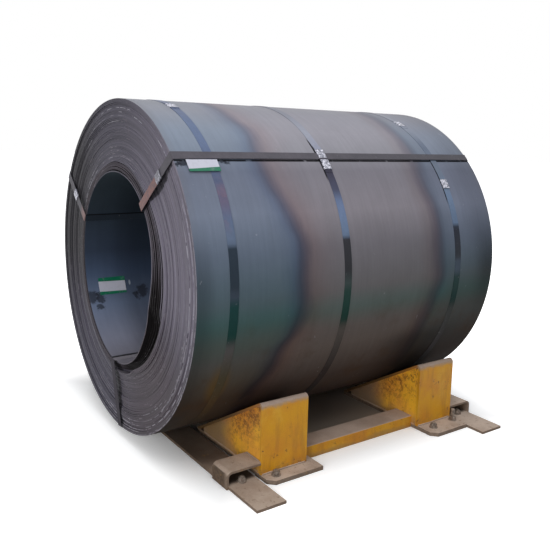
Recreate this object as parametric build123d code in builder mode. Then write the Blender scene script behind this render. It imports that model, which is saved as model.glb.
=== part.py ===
from build123d import *
import math
import os

os.makedirs("parts", exist_ok=True)

# A hot-rolled steel coil, banded with steel straps, lying in a welded coil cradle.
# Millimetres. X runs along the coil's axis, its nearer end at -X. Z is up from the floor.
# The origin is on the floor under the coil's centre. Angles are seen from the -X end:
# 0 degrees points to -Y, 90 degrees points up.

# Coil
coil_radius = 620.0
bore_radius = 381.0
coil_width = 1385.0
floor_gap = 45.0
axis_height = coil_radius + floor_gap
strip_thickness = 5.0

# How far each group of turns is set back from the coil's full width, from the rim inwards:
# where the group starts, as a share of the way from the rim to the bore,
# and its setback at the -X end and at the +X end
turn_groups = [
    (0.0, 0.0, 0.0),
    (0.063, 5.0, 4.0),
    (0.146, 2.0, 7.0),
    (0.314, 8.0, 5.0),
    (0.502, 12.0, 9.0),
    (0.749, 9.0, 12.0),
    (0.937, 5.0, 6.0),
]

# The innermost turns have sprung into the bore on one side: angle and spring-in there,
# between two places where they lie tight
sprung_turns = [
    (-108.0, 0.0),
    (-90.0, 9.0),
    (-68.0, 40.0),
    (-44.0, 84.0),
    (-18.0, 110.0),
    (10.0, 97.0),
    (38.0, 68.0),
    (68.0, 43.0),
    (100.0, 23.0),
    (134.0, 7.0),
    (155.0, 1.2),
    (170.0, 0.0),
]
loose_turn_shares = [0.0, 0.12, 0.24, 0.36, 0.49, 0.62, 0.75, 0.88, 1.0]
narrowest_gap = 3.0

# Low on that side the loose turns behind the innermost one stand back from the -X end
recess_depth = 30.0
recess_top_angle = -17.0

# Steel strap
strap_width = 32.0
strap_thickness = 1.2
strap_seat = 0.3
crossing_margin = 2.0

# Belly straps, round the coil: name and place, as a share of the way from the middle to an end.
# The crossing strap lies over the eye straps, the others under them.
belly_straps = {
    "1": -0.8087,
    "2": -0.1386,
    "3": 0.6888,
}
crossing_strap = "2"

# Eye straps, through the bore: name, angle on the rim, angle on the bore
eye_straps = {
    "upper": (44.0, 49.5),
    "back": (149.5, 157.0),
    "bottom": (-89.0, -99.0),
}

# Crimped seals: on the belly straps as name, strap and angle, and on the eye straps
# as name, strap and place, as a share of the way from the bore to the rim
seal_length = 40.0
seal_sheet = 1.0
seal_notch = 5.0
seal_notch_depth = 3.0
seal_notch_spacing = 18.0
belly_seals = [
    ("belly_seal_1", "1", 73.0),
    ("belly_seal_2_upper", "2", 44.9),
    ("belly_seal_2_lower", "2", 40.4),
    ("belly_seal_3_upper", "3", 65.5),
    ("belly_seal_3_lower", "3", 32.0),
]
eye_seals = [
    ("eye_seal_upper", "upper", 0.519),
    ("eye_seal_back", "back", 0.510),
]

# Labels, bare: distance from the coil's -X end, length, and the angles they cover
label_thickness = 0.5
outer_label_setback = 40.5
outer_label_length = 112.0
outer_label_angles = (38.0, 42.2)
bore_label_setback = 56.5
bore_label_length = 117.0
bore_label_angles = (-162.5, -151.5)

# Cradle: four wedge blocks under the coil, joined in pairs by beams
cradle_centre = 63.5
block_spacing = 762.0
block_width = 196.0
block_reach = 576.0
slope_angle = 30.0
plate_thickness = 10.0
bend_radius = 5.0
side_inset = 4.0
corner_clear = 4.0
tip_cut = 30.0
foot_thickness = 15.0
beam_depth = 90.0
beam_height = 48.0
beam_wall = 6.0
beam_back_off = 36.0

# Toes of the foot plates, as left end, right end past the block, reach past the block
toes = {
    "left": (0.0, 31.0, 59.0),
    "right": (4.0, 0.0, 92.0),
}
toe_chamfer = 24.0

# Flat bars that pass through the clips, and the clips that hold them to the blocks
bar_length = 1494.0
bar_width = 113.0
bar_thickness = 10.0
bar_gaps = {"left": 14.0, "right": 4.0}
clip_sheet = 8.0
clip_height = 60.0
clip_length = 98.0
clip_bend = 12.0
clip_play = 0.3

# Bolts: shank, washer and hexagon head, and where they stand
shank_radius = 8.0
hole_play = 1.0
head_flats = 24.0
head_height = 13.0
head_chamfer = 1.5
washer_radius = 17.0
washer_thickness = 3.0
bar_bolt_back = 10.0
bar_bolt_rise = 4.0
toe_bolts = {
    "left": [(47.0, 24.0, 4.0)],
    "right": [(54.0, 40.0, 6.0), (179.0, 30.0, 32.0)],
}

belly_inner = coil_radius + strap_seat
belly_outer = belly_inner + strap_thickness
eye_inner = belly_outer + strap_seat
eye_outer = eye_inner + strap_thickness
crossing_inner = eye_outer + strap_seat
crossing_outer = crossing_inner + strap_thickness
half_width = coil_width / 2
half_strap = strap_width / 2
contact_radius = belly_outer + strap_seat
wall = coil_radius - bore_radius


def at(radius, angle):
    """Point of the YZ plane at this distance from the coil's axis."""
    turn = math.radians(angle)
    return (-radius * math.cos(turn), axis_height + radius * math.sin(turn))


def along(angle):
    """Direction of a turn of the coil at this angle, upwards from -Y."""
    turn = math.radians(angle)
    return (math.sin(turn), math.cos(turn))


def save(piece, name):
    piece.part.label = name
    export_step(piece.part, f"parts/{name}.step")


def turned_profile():
    """Half of the coil's section through its axis, stepped at both ends."""
    near = []
    far = []
    radii = [coil_radius - share * wall for share, near_set, far_set in turn_groups] + [0.0]
    for (share, near_set, far_set), outer, inner in zip(turn_groups, radii, radii[1:]):
        near += [(near_set - half_width, axis_height + radius) for radius in (outer, inner)]
        far += [(half_width - far_set, axis_height + radius) for radius in (outer, inner)]
    return near + far[::-1]


loose_start = sprung_turns[0][0]
loose_end = sprung_turns[-1][0]


def loose_line(share, thickness, low, high):
    """Points of one loose turn's face between two entries of the list of sprung turns."""
    return [at(bore_radius - share * depth + thickness, angle) for angle, depth in sprung_turns[low:high]]


loose_curve = Spline(loose_line(1.0, 0.0, 0, len(sprung_turns)))


def bore_outline():
    """Bore: a round arc where the turns lie tight, a free curve where they have sprung in."""
    opposite = at(bore_radius, (loose_start + loose_end) / 2 + 180)
    add(loose_curve)
    ThreePointArc(at(bore_radius, loose_end), opposite, at(bore_radius, loose_start))


def turn_gap_outline(outer_share, inner_share):
    """Sickle-shaped gap between two loose turns, closed where they touch."""
    def is_open(depth):
        return (inner_share - outer_share) * depth - strip_thickness > narrowest_gap

    def tip(open_place, closed_place):
        angle = (sprung_turns[open_place][0] + sprung_turns[closed_place][0]) / 2
        depth = (sprung_turns[open_place][1] + sprung_turns[closed_place][1]) / 2
        return at(bore_radius - depth * (outer_share + inner_share) / 2 + strip_thickness / 2, angle)

    open_places = [place for place, (angle, depth) in enumerate(sprung_turns) if is_open(depth)]
    low, high = open_places[0], open_places[-1] + 1
    low_end = [tip(low, low - 1)]
    high_end = [tip(high - 1, high)]
    Spline(low_end + loose_line(outer_share, 0.0, low, high) + high_end)
    Spline(low_end + loose_line(inner_share, strip_thickness, low, high) + high_end)


def bore_wall(angle):
    """Point on the bore's wall at an angle, and the wall's direction there."""
    if not loose_start < angle < loose_end:
        return Vector(*at(bore_radius, angle)), Vector(*along(angle))
    low, high = 0.0, 1.0
    while high - low > 1e-6:
        share = (low + high) / 2
        point = loose_curve.position_at(share)
        if math.degrees(math.atan2(point.Y - axis_height, -point.X)) < angle:
            low = share
        else:
            high = share
    return loose_curve.position_at(low), loose_curve.tangent_at(low)


def make_coil():
    with BuildPart() as coil:
        with BuildSketch(Plane.XZ):
            with BuildLine():
                Polyline(turned_profile(), close=True)
            make_face()
        revolve(axis=Axis((0, 0, axis_height), (1, 0, 0)))
        with BuildSketch(Plane.YZ):
            with BuildLine():
                bore_outline()
            make_face()
        extrude(amount=coil_width, both=True, mode=Mode.SUBTRACT)
        for outer_share, inner_share in zip(loose_turn_shares, loose_turn_shares[1:]):
            with BuildSketch(Plane.YZ):
                with BuildLine():
                    turn_gap_outline(outer_share, inner_share)
                make_face()
            extrude(amount=coil_width, both=True, mode=Mode.SUBTRACT)
        with BuildSketch(Plane.YZ.offset(-coil_width)):
            with BuildLine():
                turn_gap_outline(loose_turn_shares[0], loose_turn_shares[-1])
            make_face()
            with Locations(at(bore_radius, recess_top_angle)):
                Rectangle(2 * bore_radius, 2 * bore_radius, align=(Align.CENTER, Align.MAX), mode=Mode.INTERSECT)
        extrude(amount=half_width + recess_depth, mode=Mode.SUBTRACT)
    save(coil, "coil")


def band_outline(base_radius, top_radius):
    """Closed line of a band that lies on the coil and rises over each eye strap."""
    rise = math.degrees(math.acos(base_radius / top_radius))
    half_top = math.degrees((half_strap + crossing_margin) / top_radius)
    angles = sorted(rim for rim, bore in eye_straps.values())
    for angle, following in zip(angles, angles[1:] + [angles[0] + 360]):
        up = at(base_radius, angle - half_top - rise)
        down = at(base_radius, angle + half_top + rise)
        Line(up, at(top_radius, angle - half_top))
        ThreePointArc(at(top_radius, angle - half_top), at(top_radius, angle), at(top_radius, angle + half_top))
        Line(at(top_radius, angle + half_top), down)
        next_up = following - half_top - rise
        middle = (angle + half_top + rise + next_up) / 2
        ThreePointArc(down, at(base_radius, middle), at(base_radius, next_up))


def make_belly_strap(name, share):
    with BuildPart() as strap:
        with BuildSketch(Plane.YZ.offset(share * half_width)):
            if name == crossing_strap:
                with BuildLine():
                    band_outline(belly_outer, crossing_outer)
                make_face()
                with BuildLine():
                    band_outline(belly_inner, crossing_inner)
                make_face(mode=Mode.SUBTRACT)
            else:
                with Locations((0, axis_height)):
                    Circle(belly_outer)
                    Circle(belly_inner, mode=Mode.SUBTRACT)
        extrude(amount=half_strap, both=True)
    save(strap, f"belly_strap_{name}")


def bore_corners(bore_angle, lift):
    """The two edges of a strap where it lies flat across the bore's curved wall."""
    point, way = bore_wall(bore_angle)
    inwards = Vector(way.Y, -way.X)
    sagitta = bore_radius - math.sqrt(bore_radius ** 2 - half_strap ** 2)
    middle = point + inwards * (strap_seat + sagitta + lift)
    return middle - way * half_strap, middle + way * half_strap


def rim_corners(rim_angle, radius):
    spread = math.degrees(half_strap / coil_radius)
    return [at(radius, rim_angle - spread), at(radius, rim_angle + spread)]


def make_eye_strap(name, rim_angle, bore_angle):
    """A flat loop: along the coil's outside, down both ends and back through the bore."""
    end_plane = half_width + strap_seat
    reach = end_plane + strap_thickness
    low_out, high_out = rim_corners(rim_angle, eye_outer)
    low_in, high_in = rim_corners(rim_angle, eye_inner)
    low_bore, high_bore = bore_corners(bore_angle, strap_thickness)
    low_wall, high_wall = bore_corners(bore_angle, 0.0)
    with BuildPart() as strap:
        with BuildSketch(Plane.YZ):
            with BuildLine():
                ThreePointArc(low_out, at(eye_outer, rim_angle), high_out)
                Line(high_out, high_in)
                ThreePointArc(high_in, at(eye_inner, rim_angle), low_in)
                Line(low_in, low_out)
            make_face()
        extrude(amount=reach, both=True)
        with BuildSketch(Plane.YZ):
            with BuildLine():
                Polyline(low_bore, high_bore, high_wall, low_wall, close=True)
            make_face()
        extrude(amount=reach, both=True)
        for plane in (Plane.YZ.offset(-reach), Plane.YZ.offset(end_plane)):
            with BuildSketch(plane):
                with BuildLine():
                    Polyline(low_bore, low_out)
                    ThreePointArc(low_out, at(eye_outer, rim_angle), high_out)
                    Polyline(high_out, high_bore, low_bore)
                make_face()
            extrude(amount=strap_thickness)
    save(strap, f"eye_strap_{name}")


def seal_body(plane, name):
    """A folded sleeve over the strap; the plane's X runs along the strap, its Z off the coil."""
    inner_half = half_strap + strap_seat
    outer_half = inner_half + seal_sheet
    flange = strap_thickness + strap_seat
    with BuildPart() as seal:
        with BuildSketch(plane.offset(-flange)):
            Rectangle(seal_length, 2 * outer_half)
        extrude(amount=flange + seal_sheet)
        with BuildSketch(plane.offset(-flange)):
            Rectangle(seal_length, 2 * inner_half)
        extrude(amount=flange, mode=Mode.SUBTRACT)
        with BuildSketch(plane.offset(-flange)):
            with GridLocations(seal_notch_spacing, 2 * outer_half, 2, 2):
                Rectangle(seal_notch, 2 * seal_notch_depth)
        extrude(amount=flange + seal_sheet, mode=Mode.SUBTRACT)
    save(seal, name)


def make_belly_seal(name, strap_name, angle):
    """On the crossing strap a seal lies on top of the crossing or on the strap's slope below it."""
    lean = math.radians(angle)
    radius = belly_outer + strap_seat
    if strap_name == crossing_strap:
        crossing = min((rim for rim, bore in eye_straps.values()), key=lambda rim: abs(rim - angle))
        top_edge = math.radians(crossing) - (half_strap + crossing_margin) / crossing_outer
        radius = crossing_outer + strap_seat
        if lean < top_edge:
            foot = top_edge - math.acos(belly_outer / crossing_outer)
            radius = (belly_outer + strap_seat) / math.cos(lean - foot)
            lean = foot
    outwards = Vector(0, -math.cos(lean), math.sin(lean))
    y, z = at(radius, angle)
    strap_way = outwards.cross(Vector(1, 0, 0))
    place = belly_straps[strap_name] * half_width
    seal_body(Plane(origin=(place, y, z), x_dir=strap_way, z_dir=outwards), name)


def make_eye_seal(name, strap_name, share):
    rim_angle, bore_angle = eye_straps[strap_name]
    rim = Vector(*at(coil_radius, rim_angle))
    bore, wall_way = bore_wall(bore_angle)
    bore_distance = (bore - Vector(0, axis_height)).length
    distance = bore_radius + share * wall
    place = bore + (rim - bore) * (distance - bore_distance) / (coil_radius - bore_distance)
    face = -(half_width + 2 * strap_seat + strap_thickness)
    strap_way = Vector(0, rim.X - bore.X, rim.Y - bore.Y)
    seal_body(Plane(origin=(face, place.X, place.Y), x_dir=strap_way, z_dir=(-1, 0, 0)), name)


def make_label(name, setback, length, angles, inner_radius):
    low, high = angles
    outer_radius = inner_radius + label_thickness
    corners = [at(radius, angle) for radius, angle in
               ((inner_radius, low), (inner_radius, high), (outer_radius, high), (outer_radius, low))]
    middle = (low + high) / 2
    with BuildPart() as label:
        with BuildSketch(Plane.YZ.offset(setback - half_width)):
            with BuildLine():
                ThreePointArc(corners[0], at(inner_radius, middle), corners[1])
                Line(corners[1], corners[2])
                ThreePointArc(corners[2], at(outer_radius, middle), corners[3])
                Line(corners[3], corners[0])
            make_face()
        extrude(amount=length)
    save(label, name)


slope = math.radians(slope_angle)
contact_y = contact_radius * math.sin(slope)
contact_z = axis_height - contact_radius * math.cos(slope)


def slope_y(z, depth=0.0):
    """Distance from the coil's middle plane to the slope, or to a face this deep under it."""
    return contact_y + depth / math.sin(slope) - (contact_z - z) / math.tan(slope)


def slope_z(y, depth=0.0):
    return contact_z - depth / math.cos(slope) + (y - contact_y) * math.tan(slope)


def block_left(side):
    return cradle_centre + (-1 if side == "left" else 1) * block_spacing / 2 - block_width / 2


def make_wedge_plate(side, row, way):
    """One bent plate: the slope that the coil lies on and the upright outer face."""
    inner_face = block_reach - plate_thickness
    outer_line = [
        (way * slope_y(foot_thickness), foot_thickness),
        (way * block_reach, slope_z(block_reach)),
        (way * block_reach, foot_thickness),
    ]
    inner_line = [
        (way * slope_y(foot_thickness, plate_thickness), foot_thickness),
        (way * inner_face, slope_z(inner_face, plate_thickness)),
        (way * inner_face, foot_thickness),
    ]
    with BuildPart() as plate:
        with BuildSketch(Plane.YZ.offset(block_left(side))):
            with BuildLine():
                FilletPolyline(outer_line, radius=bend_radius + plate_thickness)
                FilletPolyline(inner_line, radius=bend_radius)
                Line(outer_line[0], inner_line[0])
                Line(outer_line[-1], inner_line[-1])
            make_face()
        extrude(amount=block_width)
    save(plate, f"wedge_plate_{side}_{row}")


def make_wedge_sides(side, row, way):
    """Two upright plates that carry the slope, set in from the bent plate's edges."""
    inner_face = block_reach - plate_thickness
    tip = slope_y(foot_thickness, plate_thickness) + tip_cut
    outline = [
        (way * tip, foot_thickness),
        (way * tip, slope_z(tip, plate_thickness)),
        (way * inner_face, slope_z(inner_face, plate_thickness)),
        (way * inner_face, foot_thickness),
    ]
    places = {
        "a": block_left(side) + side_inset,
        "b": block_left(side) + block_width - side_inset - plate_thickness,
    }
    for mark, place in places.items():
        with BuildPart() as web:
            with BuildSketch(Plane.YZ.offset(place)) as face:
                with BuildLine():
                    Polyline(outline, close=True)
                make_face()
                fillet(face.vertices().sort_by(Axis.Y)[-1], radius=bend_radius + corner_clear)
            extrude(amount=plate_thickness)
        save(web, f"wedge_side_{side}_{row}_{mark}")


def make_foot(side, row, way):
    """Foot plate under a block, with a toe that stands out in front for the floor bolts."""
    left = block_left(side)
    toe_left, toe_right, toe_reach = toes[side]
    inner_end = slope_y(foot_thickness)
    beam_face = block_reach - beam_back_off
    toe_ends = (left + toe_left, left + block_width + toe_right)
    toe_tip = block_reach + toe_reach
    with BuildPart() as foot:
        with BuildSketch(Plane.XY):
            with Locations((left + side_inset, way * inner_end)):
                Rectangle(block_width - 2 * side_inset, beam_face - inner_end,
                          align=(Align.MIN, Align.MIN if way > 0 else Align.MAX))
            with BuildLine():
                Polyline([
                    (toe_ends[0], way * beam_face),
                    (toe_ends[1], way * beam_face),
                    (toe_ends[1], way * toe_tip),
                    (toe_ends[0] + toe_chamfer, way * toe_tip),
                    (toe_ends[0], way * (toe_tip - toe_chamfer)),
                ], close=True)
            make_face()
            for across, out, rise in toe_bolts[side]:
                with Locations((left + across, way * (block_reach + out))):
                    Circle(shank_radius + hole_play, mode=Mode.SUBTRACT)
        extrude(amount=foot_thickness)
    save(foot, f"foot_plate_{side}_{row}")


def make_beam(row, way):
    """Channel laid with its web up, between the two blocks of a row."""
    start = block_left("left") + block_width - side_inset
    end = block_left("right") + side_inset
    face = block_reach - beam_back_off
    middle = way * (face - beam_depth / 2)
    with BuildPart() as beam:
        with BuildSketch(Plane.YZ.offset(start)):
            with Locations((middle, beam_height / 2)):
                Rectangle(beam_depth, beam_height)
            with Locations((middle, (beam_height - beam_wall) / 2)):
                Rectangle(beam_depth - 2 * beam_wall, beam_height - beam_wall, mode=Mode.SUBTRACT)
        extrude(amount=end - start)
        fillet(beam.edges().filter_by(Axis.X).group_by(Axis.Z)[-1], radius=beam_wall / 2)
    save(beam, f"beam_{row}")


def bar_span(side):
    """The bar's edge next to the blocks and its outer edge."""
    left = block_left(side)
    if side == "left":
        inner = left - bar_gaps[side]
        return inner, inner - bar_width
    inner = left + block_width + bar_gaps[side]
    return inner, inner + bar_width


def bar_bolt_place(side, way):
    inner, outer = bar_span(side)
    return (inner + outer) / 2, way * (block_reach - bar_bolt_back)


def make_bar(side):
    inner, outer = bar_span(side)
    with BuildPart() as bar:
        with BuildSketch(Plane.XY):
            with Locations(((inner + outer) / 2, 0)):
                Rectangle(bar_width, bar_length)
            for way in (-1, 1):
                with Locations(bar_bolt_place(side, way)):
                    Circle(shank_radius + hole_play, mode=Mode.SUBTRACT)
        extrude(amount=bar_thickness)
    save(bar, f"flat_bar_{side}")


def make_clip(side, row, way):
    """Bent plate over the bar, welded to the block, with its leg on the floor."""
    outwards = -1 if side == "left" else 1
    block_edge = block_left(side) + (0 if side == "left" else block_width)
    inner, outer = bar_span(side)
    leg_inner = outer + outwards * clip_play
    leg_outer = leg_inner + outwards * clip_sheet
    under = clip_height - clip_sheet
    start = way * block_reach
    back = way * (block_reach - clip_length)
    web_face = way * (block_reach - plate_thickness)
    with BuildPart() as clip:
        with BuildSketch(Plane.XZ.offset(-min(start, back))):
            with BuildLine():
                FilletPolyline((block_edge, clip_height), (leg_outer, clip_height), (leg_outer, 0),
                               radius=clip_bend + clip_sheet)
                FilletPolyline((block_edge, under), (leg_inner, under), (leg_inner, 0), radius=clip_bend)
                Line((block_edge, clip_height), (block_edge, under))
                Line((leg_outer, 0), (leg_inner, 0))
            make_face()
        extrude(amount=-clip_length)
        with BuildSketch(Plane.XY.offset(under)):
            with Locations((block_edge, (web_face + back) / 2)):
                Rectangle(2 * side_inset, abs(back - web_face))
        extrude(amount=clip_sheet)
    save(clip, f"bar_clip_{side}_{row}")


def make_bolt(name, place, seat, rise):
    """Shank down to the floor, washer and hexagon head, with the shank's end above it."""
    x, y = place
    with BuildPart() as bolt:
        with BuildSketch(Plane.XY):
            with Locations((x, y)):
                Circle(shank_radius)
        extrude(amount=seat + washer_thickness + head_height + rise)
        with BuildSketch(Plane.XY.offset(seat)):
            with Locations((x, y)):
                Circle(washer_radius)
        extrude(amount=washer_thickness)
        with BuildSketch(Plane.XY.offset(seat + washer_thickness)):
            with Locations((x, y)):
                RegularPolygon(head_flats / 2, 6, major_radius=False)
        extrude(amount=head_height)
        chamfer(bolt.faces().sort_by(Axis.Z)[-1].edges(), length=head_chamfer)
    save(bolt, name)


make_coil()
for belly_name, place_share in belly_straps.items():
    make_belly_strap(belly_name, place_share)
for eye_name, (rim_place, bore_place) in eye_straps.items():
    make_eye_strap(eye_name, rim_place, bore_place)
for seal_name, on_strap, seal_angle in belly_seals:
    make_belly_seal(seal_name, on_strap, seal_angle)
for seal_name, on_strap, seal_share in eye_seals:
    make_eye_seal(seal_name, on_strap, seal_share)
make_label("outer_label", outer_label_setback, outer_label_length, outer_label_angles, eye_inner)
make_label("bore_label", bore_label_setback, bore_label_length, bore_label_angles,
           bore_radius - strap_seat - label_thickness)

for row, way in (("front", -1), ("rear", 1)):
    make_beam(row, way)
    for side in ("left", "right"):
        make_wedge_plate(side, row, way)
        make_wedge_sides(side, row, way)
        make_foot(side, row, way)
        make_clip(side, row, way)
        make_bolt(f"bar_bolt_{side}_{row}", bar_bolt_place(side, way), bar_thickness, bar_bolt_rise)
        for number, (across, out, rise) in enumerate(toe_bolts[side], 1):
            bolt_place = (block_left(side) + across, way * (block_reach + out))
            make_bolt(f"foot_bolt_{side}_{row}_{number}", bolt_place, foot_thickness, rise)
for side in ("left", "right"):
    make_bar(side)
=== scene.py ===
import bpy
import math
import random
from functools import reduce
from mathutils import Matrix, Vector


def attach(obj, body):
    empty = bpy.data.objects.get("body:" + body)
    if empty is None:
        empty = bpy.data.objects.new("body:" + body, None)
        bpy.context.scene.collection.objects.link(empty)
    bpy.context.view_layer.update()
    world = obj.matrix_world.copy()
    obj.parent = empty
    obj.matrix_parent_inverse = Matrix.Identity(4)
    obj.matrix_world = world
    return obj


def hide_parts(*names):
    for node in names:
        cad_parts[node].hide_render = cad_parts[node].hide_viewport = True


# A hot-rolled steel coil in its cradle. Metres, in the frame of the CAD part:
# X along the coil's axis with the nearer end at -X, Z up from the floor.
# Angles are seen from the -X end: 0 degrees points to -Y, 90 degrees points up.

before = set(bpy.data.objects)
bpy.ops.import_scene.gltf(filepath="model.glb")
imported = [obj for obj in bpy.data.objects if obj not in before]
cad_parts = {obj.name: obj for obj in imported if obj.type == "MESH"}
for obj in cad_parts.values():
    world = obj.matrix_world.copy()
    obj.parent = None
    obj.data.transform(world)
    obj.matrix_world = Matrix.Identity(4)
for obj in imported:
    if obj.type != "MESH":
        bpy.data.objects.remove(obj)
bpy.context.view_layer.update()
chance = random.Random(11)

# The coil, with the thickness of its strip
coil_radius = 0.620
bore_radius = 0.381
half_width = 0.6925
axis_height = 0.665
sheet = 0.005

# The straps, which lie on each other with a seat between them. Belly straps go round the coil at
# an X; eye straps go through the bore, by their angles at the rim and in the bore.
strap_width = 0.032
strap_sheet = 0.0012
seat = 0.0003
belly_inner = coil_radius + seat
belly_outer = belly_inner + strap_sheet
eye_inner = belly_outer + seat
eye_outer = eye_inner + strap_sheet
crossing_inner = eye_outer + seat
crossing_outer = crossing_inner + strap_sheet
belly_places = {"1": -0.560, "2": -0.096, "3": 0.477}
eye_places = {"upper": (44.0, 49.5), "back": (149.5, 157.0), "bottom": (-89.0, -99.0)}

# The cradle's blocks: their slopes touch the outer straps, and block_lefts is each one's lower X
slope = math.radians(30)
contact_radius = belly_outer + seat
contact_y = contact_radius * math.sin(slope)
contact_z = axis_height - contact_radius * math.cos(slope)
block_reach = 0.576
block_lefts = {"left": -0.4155, "right": 0.3465}
block_width = 0.196
plate = 0.010
foot_top = 0.015
side_inset = 0.004


def point(x, radius, angle):
    """A place by X, its distance from the coil's axis and its angle in degrees."""
    turn = math.radians(angle)
    return Vector((x, -radius * math.cos(turn), axis_height + radius * math.sin(turn)))


def outwards(angle):
    turn = math.radians(angle)
    return Vector((0, -math.cos(turn), math.sin(turn)))


def upwards(angle):
    """Direction of a turn of the coil at this angle."""
    turn = math.radians(angle)
    return Vector((0, math.sin(turn), math.cos(turn)))


def ease(share):
    """0 up to 0 and 1 from 1 on, smooth in between."""
    share = min(1.0, max(0.0, share))
    return share * share * (3 - 2 * share)


def straight(value, table):
    """Straight-line reading of a table of (place, value) pairs."""
    if value <= table[0][0]:
        return table[0][1]
    for (low, a), (high, b) in zip(table, table[1:]):
        if value <= high:
            return a + (b - a) * (value - low) / (high - low)
    return table[-1][1]


# Node trees

def shade(red, green, blue):
    """Colour as it shows on a screen, 0 to 255, turned into linear light."""
    def linear(value):
        value /= 255
        return value / 12.92 if value <= 0.04045 else ((value + 0.055) / 1.055) ** 2.4
    return (linear(red), linear(green), linear(blue), 1.0)


def factor(red, green, blue):
    """Three numbers that a colour is multiplied by."""
    return (red, green, blue, 1.0)


class Value:
    """What a node gives out, so that sums with it add the nodes that work them out."""

    def __init__(self, tree, socket):
        self.tree = tree
        self.socket = socket

    def __add__(self, other):
        return self.tree.math("ADD", self, other)

    def __radd__(self, other):
        return self.tree.math("ADD", other, self)

    def __sub__(self, other):
        return self.tree.math("SUBTRACT", self, other)

    def __rsub__(self, other):
        return self.tree.math("SUBTRACT", other, self)

    def __mul__(self, other):
        return self.tree.math("MULTIPLY", self, other)

    def __truediv__(self, other):
        return self.tree.math("DIVIDE", self, other)

    def __abs__(self):
        return self.tree.math("ABSOLUTE", self)

    def either(self, other):
        """The larger of the two."""
        return self.tree.math("MAXIMUM", self, other)

    def step(self, low, high):
        """0 beyond low and 1 beyond high, smooth in between; low may be the larger."""
        rises = low < high
        limits = {"Value": self, "From Min": min(low, high), "From Max": max(low, high),
                  "To Min": 0.0 if rises else 1.0, "To Max": 1.0 if rises else 0.0}
        return self.tree.node("MapRange", limits, interpolation_type="SMOOTHSTEP")

    def inside(self, low, high, soft):
        """1 between low and high, with soft limits."""
        return self.step(low - soft, low + soft) * self.step(high + soft, high - soft)


class Tree:
    """The node tree of a material or the world."""

    def __init__(self, owner):
        owner.use_nodes = True
        self.nodes = owner.node_tree.nodes
        self.links = owner.node_tree.links

    def put(self, socket, value):
        if isinstance(value, Value):
            self.links.new(value.socket, socket)
        else:
            socket.default_value = value

    def node(self, kind, inputs, output=0, **settings):
        """Adds a node, links or sets its inputs, and returns one of its outputs."""
        node = self.nodes.new("ShaderNode" + kind)
        for setting, value in settings.items():
            setattr(node, setting, value)
        for place, value in inputs.items():
            self.put(node.inputs[place], value)
        return Value(self, node.outputs[output])

    def math(self, operation, a, b=0.0):
        return self.node("Math", {0: a, 1: b}, operation=operation)

    def mix(self, share, a, b, blend="MIX"):
        """Colour a at share 0 and b at 1; inputs 6 and 7 are where the node takes colours."""
        return self.node("Mix", {0: share, 6: a, 7: b}, 2, data_type="RGBA", blend_type=blend)

    def split(self, vector):
        node = self.nodes.new("ShaderNodeSeparateXYZ")
        self.put(node.inputs[0], vector)
        return [Value(self, socket) for socket in node.outputs]

    def by_ray(self, lit, seen):
        """One shader for the light that falls on things, another for the eye, mirrors and glass."""
        camera, glossy, glass = (self.node("LightPath", {}, f"Is {ray} Ray")
                                 for ray in ("Camera", "Glossy", "Transmission"))
        return self.node("MixShader", {0: camera.either(glossy).either(glass), 1: lit, 2: seen})


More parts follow.
